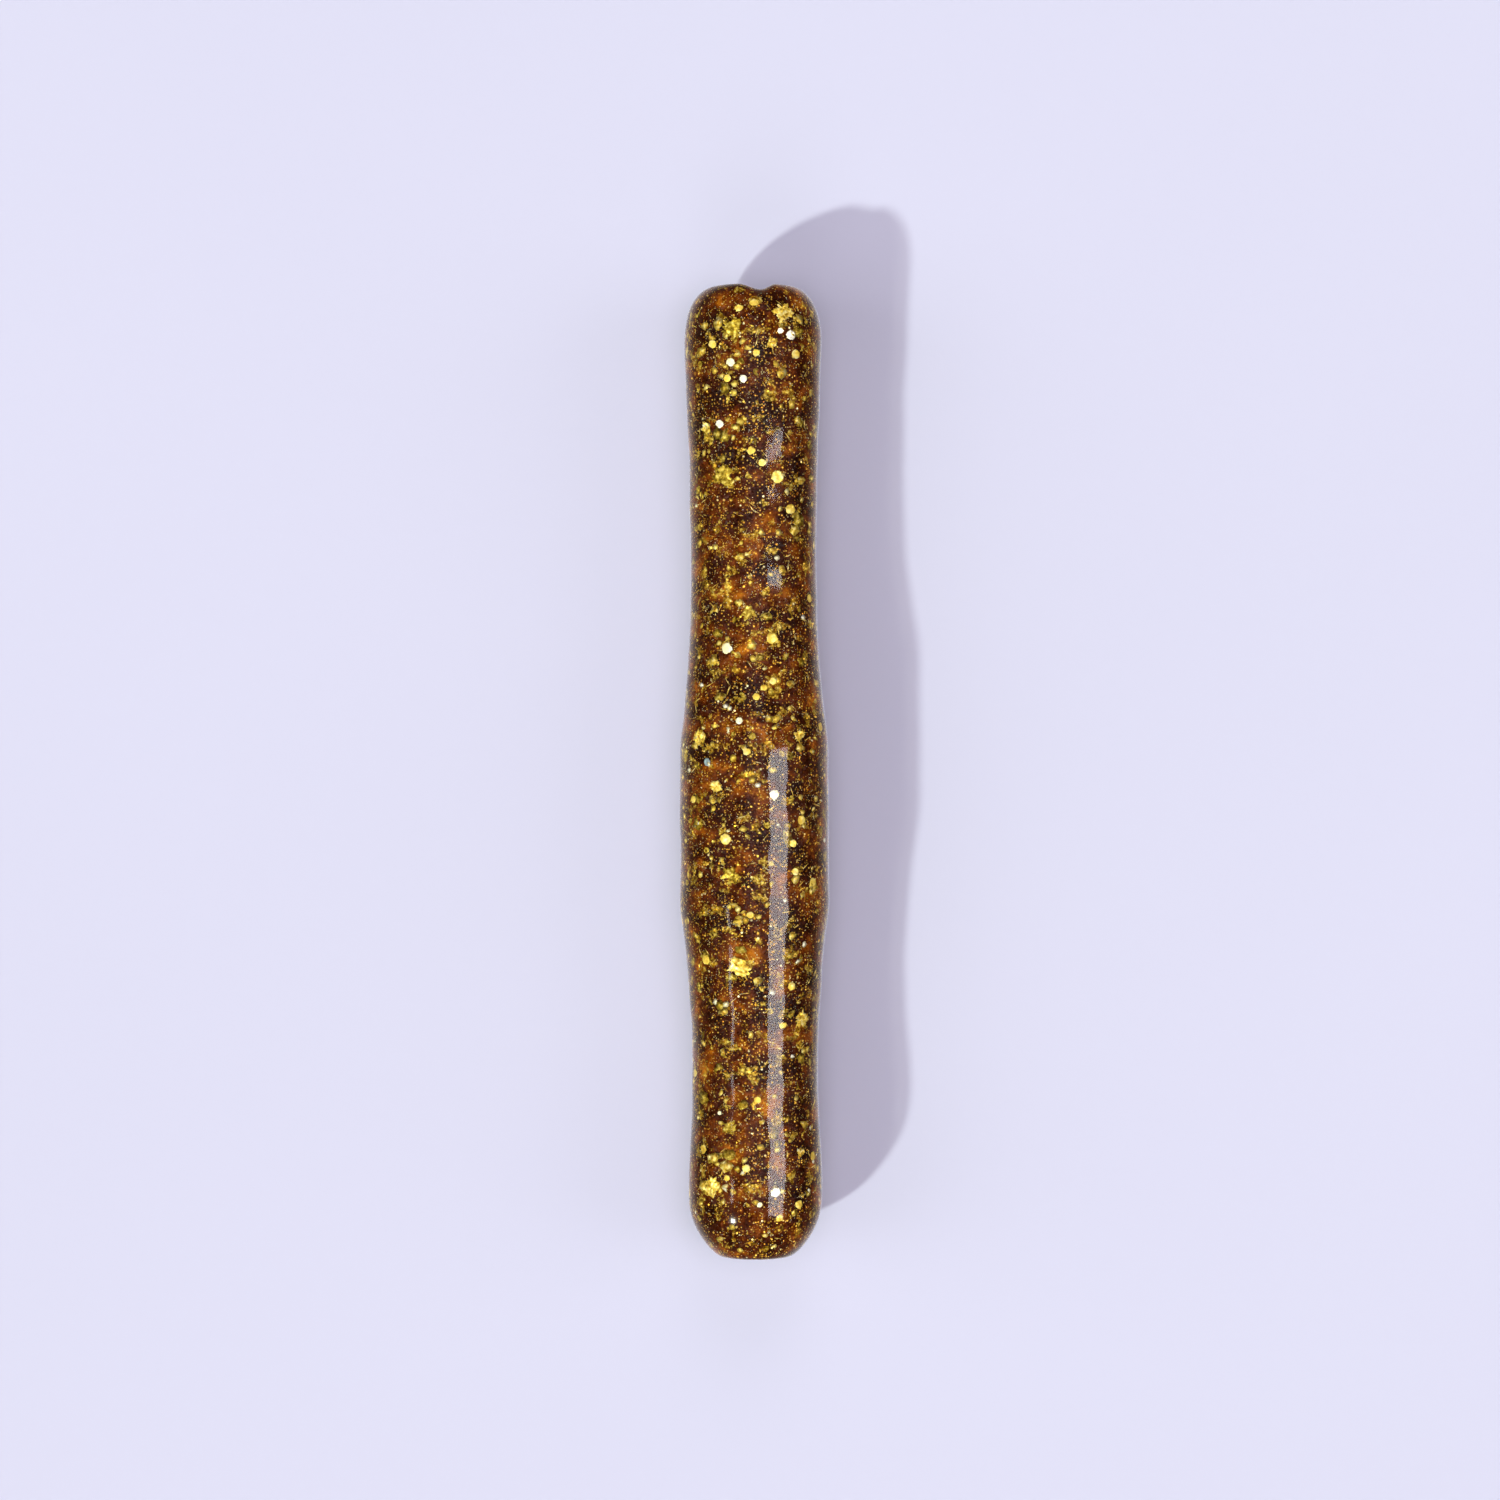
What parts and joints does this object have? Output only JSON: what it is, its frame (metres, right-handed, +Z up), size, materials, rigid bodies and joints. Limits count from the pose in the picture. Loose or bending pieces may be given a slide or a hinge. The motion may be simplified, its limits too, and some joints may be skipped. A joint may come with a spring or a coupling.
{
  "type": "gold sample vial",
  "caption": "Waisted clear glass sample vial with a barrel grip, packed with gold flake in amber gel and closed by a pull-out plug.",
  "frame": {"origin": "on the ground, straight under the middle of the vial's length and width, with the vial lying on its barrel", "axes": "+Y along the vial's axis from the closed base to the mouth, +Z up, +X across"},
  "size_m": [0.0164, 0.1068, 0.0162],
  "materials": {
    "clear_glass": "fire-polished clear glass, slightly wavy",
    "plug_plastic": "clear moulded acrylic, smooth",
    "seal_rubber": "translucent silicone, satin",
    "gel": "dark amber gel",
    "leaf_gold": "crumpled leaf",
    "spangle_gold": "bright flat spangles",
    "pale_gold": "bright pale spangles",
    "flake_gold": "ragged flake",
    "grey_metal": "bright grey flake"
  },
  "bodies": {
    "vial": {"glass_body": "clear_glass", "amber_gel": "gel", "leaf_1": "leaf_gold", "leaf_2": "leaf_gold", "leaf_3": "leaf_gold", "leaf_4": "leaf_gold", "leaf_5": "leaf_gold", "leaf_6": "leaf_gold", "leaf_7": "leaf_gold", "leaf_8": "leaf_gold", "leaf_9": "leaf_gold", "leaf_10": "leaf_gold", "leaf_11": "leaf_gold", "leaf_12": "leaf_gold", "leaf_13": "leaf_gold", "leaf_14": "leaf_gold", "leaf_15": "leaf_gold", "leaf_16": "leaf_gold", "leaf_17": "leaf_gold", "leaf_18": "leaf_gold", "leaf_19": "leaf_gold", "leaf_20": "leaf_gold", "grey_flake": "grey_metal", "round_spangles": "spangle_gold", "pale_spangles": "pale_gold", "coarse_flakes": "flake_gold"},
    "stopper": {"mouth_plug": "plug_plastic", "plug_seal": "seal_rubber"}
  },
  "joints": [
    {"name": "plug_pull", "type": "slide", "parent": "vial", "child": "stopper", "axis": [0, 1, 0], "range_m": [0, 0.012]}
  ]
}
